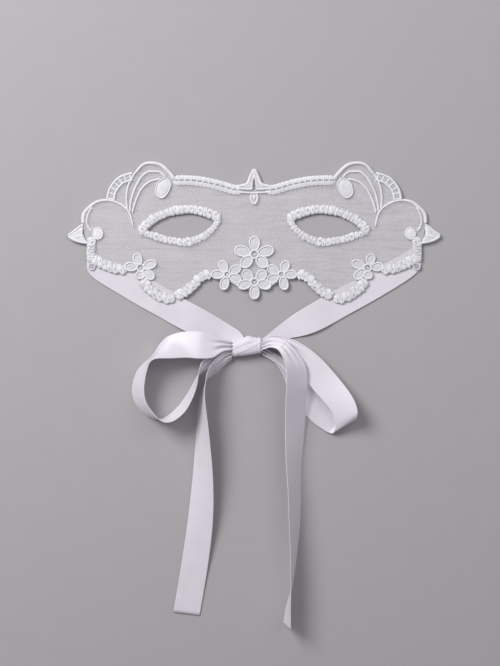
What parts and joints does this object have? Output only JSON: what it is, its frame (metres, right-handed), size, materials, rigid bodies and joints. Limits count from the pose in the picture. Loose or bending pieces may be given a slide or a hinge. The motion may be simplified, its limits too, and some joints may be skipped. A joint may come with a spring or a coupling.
{
  "type": "lace eye mask",
  "caption": "Half-face lace eye mask with scrolled embroidered edges on a net ground, worn with two satin ribbon ties joined in a bow.",
  "frame": {"origin": "the back of the small drop under the brow finial, on the middle of the mask, level with the surface the mask lies on", "axes": "+Z out of the face of the mask, +Y up to the brow, +X across the mask; the ribbon ties lie towards -Y"},
  "size_m": [0.2248, 0.2775, 0.0171],
  "materials": {
    "net": "fine white tulle net, see-through",
    "embroidery": "raised white satin-stitch embroidery with a soft sheen",
    "sewing_thread": "white sewing thread",
    "satin_ribbon": "white satin ribbon with a cool sheen and woven edges"
  },
  "bodies": {
    "mask": {"centre_finial": "embroidery", "finial_drop": "embroidery", "left_brow_band": "embroidery", "left_cheek_edging": "embroidery", "left_cheek_flower": "embroidery", "left_eye_edging": "embroidery", "left_ladder_scallop": "embroidery", "left_nose_edging": "embroidery", "left_nose_flower": "embroidery", "left_scroll_arch": "embroidery", "left_scroll_bulb": "embroidery", "left_scroll_stems": "embroidery", "left_seam_stitches": "sewing_thread", "left_shoulder_arc": "embroidery", "left_side_band": "embroidery", "left_side_knob": "embroidery", "left_tie_end": "satin_ribbon", "left_wing_tip": "embroidery", "net_panel": "net", "nose_flower_bottom": "embroidery", "nose_flower_top": "embroidery", "right_brow_band": "embroidery", "right_cheek_edging": "embroidery", "right_cheek_flower": "embroidery", "right_eye_edging": "embroidery", "right_ladder_scallop": "embroidery", "right_nose_edging": "embroidery", "right_nose_flower": "embroidery", "right_scroll_arch": "embroidery", "right_scroll_bulb": "embroidery", "right_scroll_stems": "embroidery", "right_seam_stitches": "sewing_thread", "right_shoulder_arc": "embroidery", "right_side_band": "embroidery", "right_side_knob": "embroidery", "right_tie_end": "satin_ribbon", "right_wing_tip": "embroidery"},
    "strap": {"left_tie": "satin_ribbon", "right_tie": "satin_ribbon", "bow_knot": "satin_ribbon"},
    "left_loop": {"left_loop": "satin_ribbon"},
    "right_loop": {"right_loop": "satin_ribbon"},
    "left_tail": {"left_tail": "satin_ribbon"},
    "right_tail": {"right_tail": "satin_ribbon"}
  },
  "joints": [
    {"name": "strap_swing", "type": "hinge", "parent": "mask", "child": "strap", "pos_m": [0, -0.0338, 0.0002], "axis": [1, 0, 0], "range_deg": [0, 95]},
    {"name": "left_loop_lift", "type": "hinge", "parent": "strap", "child": "left_loop", "pos_m": [-0.0132, -0.0882, 0.0068], "axis": [0, 1, 0], "range_deg": [0, 60]},
    {"name": "right_loop_lift", "type": "hinge", "parent": "strap", "child": "right_loop", "pos_m": [0.0044, -0.0882, 0.0068], "axis": [0, -1, 0], "range_deg": [0, 60]},
    {"name": "left_tail_swing", "type": "hinge", "parent": "left_loop", "child": "left_tail", "pos_m": [-0.014, -0.0927, 0.003], "axis": [0, 0, 1], "range_deg": [0, 8]},
    {"name": "right_tail_swing", "type": "hinge", "parent": "right_loop", "child": "right_tail", "pos_m": [0.0052, -0.087, 0.005], "axis": [0, 0, 1], "range_deg": [-8, 0]}
  ]
}
